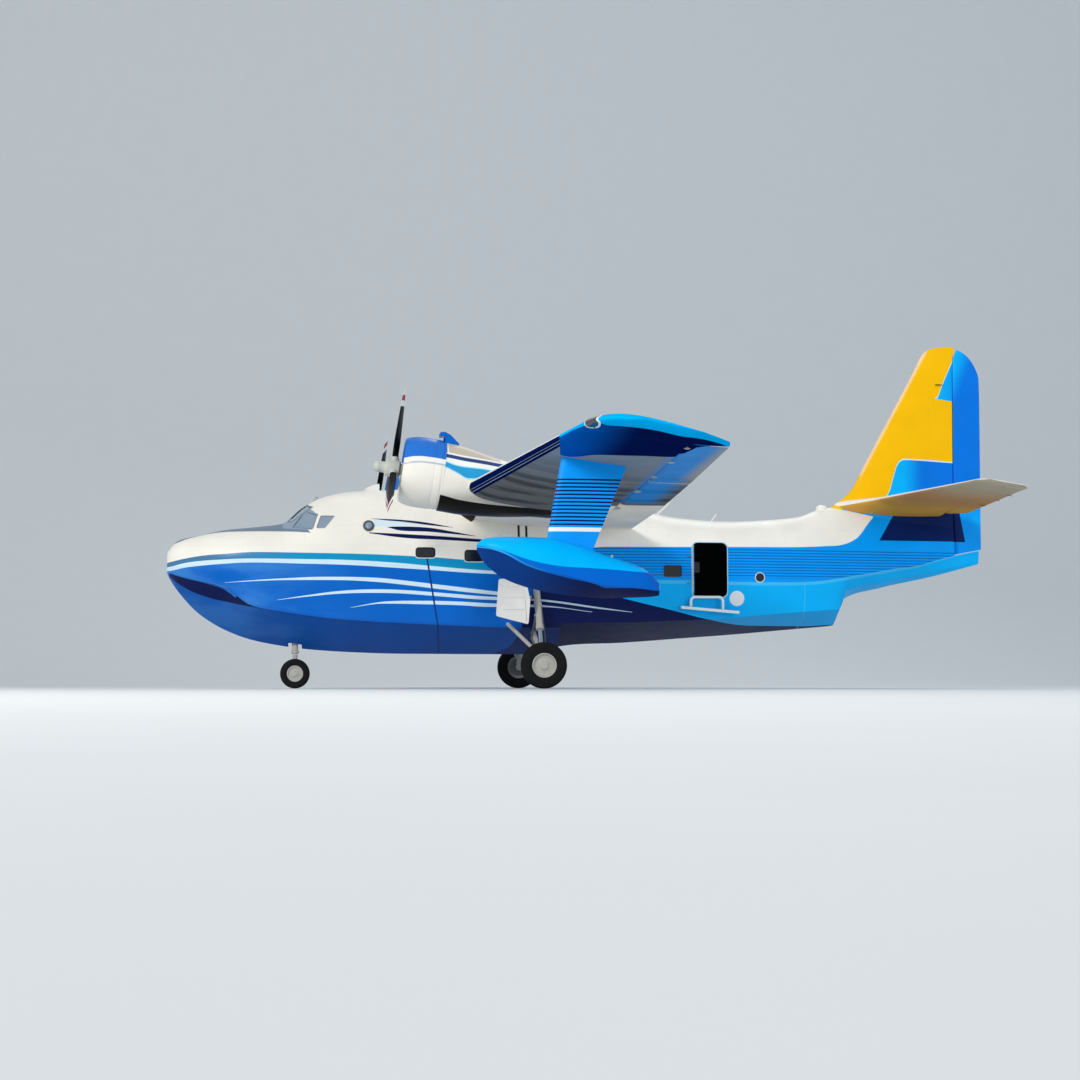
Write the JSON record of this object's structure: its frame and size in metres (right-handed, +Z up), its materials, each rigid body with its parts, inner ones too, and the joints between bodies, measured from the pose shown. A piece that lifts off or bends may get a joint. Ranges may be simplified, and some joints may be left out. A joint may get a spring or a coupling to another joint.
{
  "type": "twin-engined amphibious flying boat",
  "caption": "High-wing amphibious flying boat with a stepped hull, two radial engines, wing floats, a tall fin and retractable landing gear shown down.",
  "frame": {"origin": "on the ground under the middle of the aircraft's length, on its centre line", "axes": "+X aft along the hull, +Y to starboard, +Z up"},
  "size_m": [18.67, 29.46, 7.924],
  "materials": {
    "hull_paint": "gloss enamel on riveted sheet",
    "upper_paint": "gloss enamel on riveted sheet",
    "tail_paint": "gloss enamel on riveted sheet",
    "fin_paint": "gloss enamel on riveted sheet",
    "nacelle_paint": "gloss enamel on sheet",
    "engine_metal": "cast and painted grey",
    "propeller_paint": "matt black paint",
    "gear_paint": "satin paint",
    "gear_metal": "ground steel",
    "tyre_rubber": "moulded rubber",
    "window_glass": "clear acrylic",
    "cockpit_green": "matt interior paint",
    "black_paint": "matt black paint",
    "ladder_paint": "white paint"
  },
  "bodies": {
    "airframe": {"hull_bow": "hull_paint", "hull_bottom": "hull_paint", "cockpit_shell": "upper_paint", "cabin_shell_forward": "upper_paint", "cabin_shell_aft": "upper_paint", "tail_cone": "tail_paint", "cockpit_glass": "window_glass", "cabin_glass_left": "window_glass", "cabin_glass_right": "window_glass", "cabin_floor": "cockpit_green", "cockpit_floor_and_seats": "cockpit_green", "instrument_panel": "black_paint", "wing_centre": "upper_paint", "wing_outer_left": "upper_paint", "wing_outer_right": "upper_paint", "wing_tip_left": "tail_paint", "wing_tip_right": "tail_paint", "nacelle_left": "nacelle_paint", "nacelle_right": "nacelle_paint", "cowling_left": "nacelle_paint", "cowling_right": "nacelle_paint", "engine_left": "engine_metal", "engine_right": "engine_metal", "wing_float_left": "tail_paint", "wing_float_right": "tail_paint", "float_strut_left": "tail_paint", "float_strut_right": "tail_paint", "fin": "fin_paint", "tailplane_left": "upper_paint", "tailplane_right": "upper_paint", "main_leg_left": "gear_paint", "main_leg_right": "gear_paint", "gear_fairing_left": "gear_paint", "gear_fairing_right": "gear_paint", "nose_leg": "gear_metal", "boarding_ladder": "ladder_paint"},
    "propeller_left": {"propeller_left": "propeller_paint"},
    "propeller_right": {"propeller_right": "propeller_paint"},
    "rudder": {"rudder": "tail_paint"},
    "elevator_left": {"elevator_left": "upper_paint"},
    "elevator_right": {"elevator_right": "upper_paint"},
    "aileron_left": {"aileron_left": "upper_paint"},
    "aileron_right": {"aileron_right": "upper_paint"},
    "flap_left": {"flap_left": "upper_paint"},
    "flap_right": {"flap_right": "upper_paint"},
    "main_wheel_left": {"main_wheel_left": "tyre_rubber"},
    "main_wheel_right": {"main_wheel_right": "tyre_rubber"},
    "nose_steering": {"nose_fork": "gear_metal"},
    "nose_wheels": {"nose_wheels": "tyre_rubber"},
    "cabin_door": {"cabin_door": "upper_paint"}
  },
  "joints": [
    {"name": "propeller_left_spin", "type": "hinge", "parent": "airframe", "child": "propeller_left", "pos_m": [-4.497, -4.15, 4.573], "axis": [0.9907, 0, -0.1357], "continuous": true},
    {"name": "propeller_right_spin", "type": "hinge", "parent": "airframe", "child": "propeller_right", "pos_m": [-4.497, 4.15, 4.573], "axis": [0.9907, 0, -0.1357], "continuous": true},
    {"name": "main_wheel_left_spin", "type": "hinge", "parent": "airframe", "child": "main_wheel_left", "pos_m": [-1.185, -2.69, 0.5], "axis": [0, 1, 0], "continuous": true},
    {"name": "main_wheel_right_spin", "type": "hinge", "parent": "airframe", "child": "main_wheel_right", "pos_m": [-1.185, 2.69, 0.5], "axis": [0, 1, 0], "continuous": true},
    {"name": "nose_steer", "type": "hinge", "parent": "airframe", "child": "nose_steering", "pos_m": [-6.485, 0, 0.5], "axis": [0, 0, 1], "range_deg": [-50, 50]},
    {"name": "nose_wheels_spin", "type": "hinge", "parent": "nose_steering", "child": "nose_wheels", "pos_m": [-6.485, 0, 0.33], "axis": [0, 1, 0], "continuous": true},
    {"name": "rudder_turn", "type": "hinge", "parent": "airframe", "child": "rudder", "pos_m": [8.735, 0, 5], "axis": [0, 0, 1], "range_deg": [-25, 25]},
    {"name": "elevator_left_turn", "type": "hinge", "parent": "airframe", "child": "elevator_left", "pos_m": [8.47174, -2.45, 4.19396], "axis": [-0.0231, 0.998, -0.0593], "range_deg": [-25, 20]},
    {"name": "elevator_right_turn", "type": "hinge", "parent": "airframe", "child": "elevator_right", "pos_m": [8.47174, 2.45, 4.19396], "axis": [0.0231, 0.998, 0.0593], "range_deg": [-25, 20]},
    {"name": "aileron_left_turn", "type": "hinge", "parent": "airframe", "child": "aileron_left", "pos_m": [0.13951, -11.49, 4.1032], "axis": [0.0001, 0.9989, -0.0467], "range_deg": [-18, 18]},
    {"name": "aileron_right_turn", "type": "hinge", "parent": "airframe", "child": "aileron_right", "pos_m": [0.13951, 11.49, 4.1032], "axis": [-0.0001, 0.9989, 0.0467], "range_deg": [-18, 18]},
    {"name": "flap_left_turn", "type": "hinge", "parent": "airframe", "child": "flap_left", "pos_m": [0.13984, -5.265, 3.85426], "axis": [0, 0.9993, -0.0361], "range_deg": [0, 40]},
    {"name": "flap_right_turn", "type": "hinge", "parent": "airframe", "child": "flap_right", "pos_m": [0.13984, 5.265, 3.85426], "axis": [0, 0.9993, 0.0361], "range_deg": [0, 40]},
    {"name": "cabin_door_swing", "type": "hinge", "parent": "airframe", "child": "cabin_door", "pos_m": [2.343, -1.078, 2.65], "axis": [0, 0, 1], "range_deg": [-85.7, 0]}
  ],
  "couplings": [
    {"joint": "elevator_right_turn", "follows": "elevator_left_turn", "ratio": 1},
    {"joint": "aileron_right_turn", "follows": "aileron_left_turn", "ratio": -1},
    {"joint": "flap_right_turn", "follows": "flap_left_turn", "ratio": 1}
  ]
}
